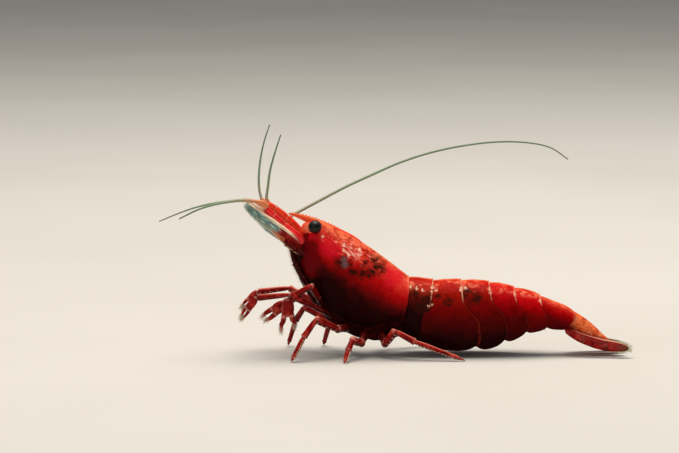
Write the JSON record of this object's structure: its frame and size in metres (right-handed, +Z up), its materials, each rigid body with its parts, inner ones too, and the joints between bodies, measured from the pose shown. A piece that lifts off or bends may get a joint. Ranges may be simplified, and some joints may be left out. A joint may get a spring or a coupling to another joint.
{
  "type": "cherry shrimp",
  "caption": "Aquarium cherry shrimp at life size, a still figure standing on its walking legs with its head raised and its feelers spread.",
  "frame": {"origin": "the floor under the middle of the whole figure's box", "axes": "+Z up, the head towards -Y, the tail towards +Y, the animal's left side towards +X"},
  "size_m": [0.0278, 0.0376, 0.0185],
  "materials": {
    "red shell": "glossy translucent shell, orange-red on the back, dark red below",
    "dark red underside": "wet dark red skin",
    "red limb": "glossy translucent red with pale joints",
    "black eye": "high gloss",
    "pale antennal scale": "translucent blue-grey with a cream rib",
    "grey-green feeler": "ringed, satin"
  },
  "bodies": {
    "root": {"abdomen_1": "red shell", "abdomen_2": "red shell", "abdomen_3": "red shell", "abdomen_4": "red shell", "abdomen_5": "red shell", "abdomen_6": "red shell", "antenna_base_left": "red limb", "antenna_base_right": "red limb", "antennal_scale_left": "pale antennal scale", "antennal_scale_right": "pale antennal scale", "antennule_left": "red limb", "antennule_right": "red limb", "arm_1_left": "red limb", "arm_1_right": "red limb", "arm_2_left": "red limb", "arm_2_right": "red limb", "carapace": "red shell", "claw_1_left": "red limb", "claw_1_right": "red limb", "claw_2_left": "red limb", "claw_2_right": "red limb", "eye_left": "black eye", "eye_right": "black eye", "eyestalk_left": "red limb", "eyestalk_right": "red limb", "feeler_antenna_left_far": "grey-green feeler", "feeler_antenna_left_near": "grey-green feeler", "feeler_antenna_right_far": "grey-green feeler", "feeler_antenna_right_near": "grey-green feeler", "feeler_antennule_inner_left": "grey-green feeler", "feeler_antennule_inner_right": "grey-green feeler", "feeler_antennule_outer_left": "grey-green feeler", "feeler_antennule_outer_right": "grey-green feeler", "leg_3_left_lower": "red limb", "leg_3_left_upper": "red limb", "leg_3_right_lower": "red limb", "leg_3_right_upper": "red limb", "leg_4_left_lower": "red limb", "leg_4_left_upper": "red limb", "leg_4_right_lower": "red limb", "leg_4_right_upper": "red limb", "leg_5_left_lower": "red limb", "leg_5_left_upper": "red limb", "leg_5_right_lower": "red limb", "leg_5_right_upper": "red limb", "maxilliped_left": "red limb", "maxilliped_right": "red limb", "swimmerets_1": "red limb", "swimmerets_2": "red limb", "swimmerets_3": "red limb", "swimmerets_4": "red limb", "swimmerets_5": "red limb", "telson": "red shell", "thorax": "dark red underside", "uropod_inner_left": "red shell", "uropod_inner_right": "red shell", "uropod_outer_left": "red shell", "uropod_outer_right": "red shell"}
  },
  "joints": []
}
